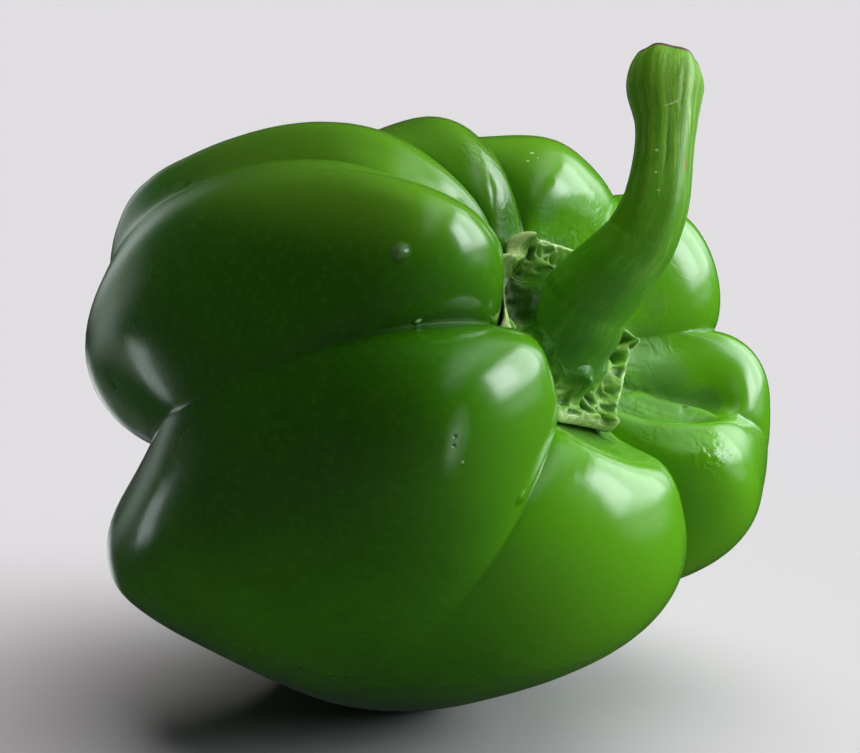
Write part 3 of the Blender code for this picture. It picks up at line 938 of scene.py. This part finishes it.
# room: a pale board, even light from the ceiling, and the windows that the wax reflects
roomSet = {
    "floorSize": 30.0,
    "floorColour": "BDB8BA",
    "air": ("A8B4AC", 0.05),
    "ceiling": {"angle": 70, "strength": 3.0, "lean": (24, 14)},
    # name, azimuth from straight behind the pepper towards the right, elevation, half width and
    # half height in degrees, soft share of each half, colour, strength
    "windows": [
        ("rightWindow", 82, 24, 29, 20, 0.35, "E6EEF0", 7.4),
        ("rightPane", 97, 24, 13, 14, 0.5, "E6EEF0", 6.0),
        ("windowReveal", 46, 20, 14, 24, 0.8, "E6EEF0", 3.4),
        ("windowSill", 86, 0, 28, 9, 1.0, "E6EEF0", 1.6),
        ("ceilingGlow", 95, 62, 55, 20, 1.0, "E6EEF0", 1.8),
        ("leftGlow", -44, -4, 14, 16, 0.9, "DCE6E4", 0.6),
        ("leftFar", -26, 0, 14, 12, 0.9, "DCE6E4", 0.8),
        ("leftLow", -22, -20, 14, 8, 0.9, "DCE6E4", 1.4),
        ("leftSlit", -63, -13, 6, 9, 0.6, "E2ECEE", 2.0),
    ],
}


def towardsSky(azimuth, elevation):
    turn, lift = math.radians(azimuth), math.radians(elevation)
    level = math.cos(lift)
    return Vector((math.sin(turn) * level, math.cos(turn) * level, math.sin(lift)))


def addWindow(tree, sight, azimuth, elevation, halfWidth, halfHeight, soft, colour, strength):
    # a soft-edged rectangle of light in the sky, seen along one direction
    ways = (
        towardsSky(azimuth, elevation),
        towardsSky(azimuth + 90, 0),
        towardsSky(azimuth, elevation + 90),
    )
    ahead, aside, above = [
        addNode(tree, "ShaderNodeVectorMath", {"operation": "DOT_PRODUCT"}, (sight, way), "Value")
        for way in ways
    ]
    front = addNode(tree, "ShaderNodeMath", {"operation": "MAXIMUM"}, (ahead, 0.001))
    share = strength
    for value, half in ((aside, halfWidth), (above, halfHeight)):
        edge = math.tan(math.radians(half))
        away = addNode(tree, "ShaderNodeMath", {"operation": "DIVIDE"}, (value, front))
        away = addNode(tree, "ShaderNodeMath", {"operation": "ABSOLUTE"}, (away,))
        lit = addNode(tree, "ShaderNodeMapRange", softRange, (away, edge, edge * (1 - soft)))
        share = addNode(tree, "ShaderNodeMath", {"operation": "MULTIPLY"}, (lit, share))
    dark, light = hexColour("000000"), hexColour(colour)
    return addNode(tree, "ShaderNodeMix", colourMix, {0: share, 6: dark, 7: light}, 2)


def makeSky():
    world = bpy.data.worlds.new("daylight")
    bpy.context.scene.world = world
    world.use_nodes = True
    tree = world.node_tree
    tree.nodes.clear()
    sight = addNode(tree, "ShaderNodeTexCoord", {}, {}, "Generated")
    colour, strength = roomSet["air"]
    total = addNode(tree, "ShaderNodeVectorMath", {"operation": "SCALE"},
                    {0: hexColour(colour)[:3], "Scale": strength})
    for window in roomSet["windows"]:
        glow = addWindow(tree, sight, *window[1:])
        total = addNode(tree, "ShaderNodeVectorMath", {"operation": "ADD"}, (total, glow))
    air = addNode(tree, "ShaderNodeBackground", {}, {"Color": total})
    addNode(tree, "ShaderNodeOutputWorld", {}, {"Surface": air})


def makeRoom():
    deselectAll()
    bpy.ops.mesh.primitive_plane_add(size=roomSet["floorSize"], location=(0, 0, 0))
    board = bpy.context.object
    board.name = "pale_board"
    # Board: smooth wood under matt paint, which gives the eye a plain pale ground without gloss
    made = bpy.data.materials.new("matt_pale_board")
    made.use_nodes = True
    tree = made.node_tree
    tree.nodes.clear()
    matt = addNode(tree, "ShaderNodeBsdfDiffuse", {}, {"Color": hexColour(roomSet["floorColour"])})
    addNode(tree, "ShaderNodeOutputMaterial", {}, {"Surface": matt})
    board.data.materials.append(made)
    board.visible_glossy = False
    bpy.ops.object.light_add(type="SUN", location=(0, 0, 1))
    ceiling = bpy.context.object
    ceiling.name = "ceilingLight"
    ceiling.data.angle = math.radians(roomSet["ceiling"]["angle"])
    ceiling.data.energy = roomSet["ceiling"]["strength"]
    lean, sideways = roomSet["ceiling"]["lean"]
    ceiling.rotation_euler = (-math.radians(lean), math.radians(sideways), 0)
    ceiling.visible_glossy = False
    makeSky()


makeRoom()
bpy.context.scene.view_settings.view_transform = "Standard"
print("room made")
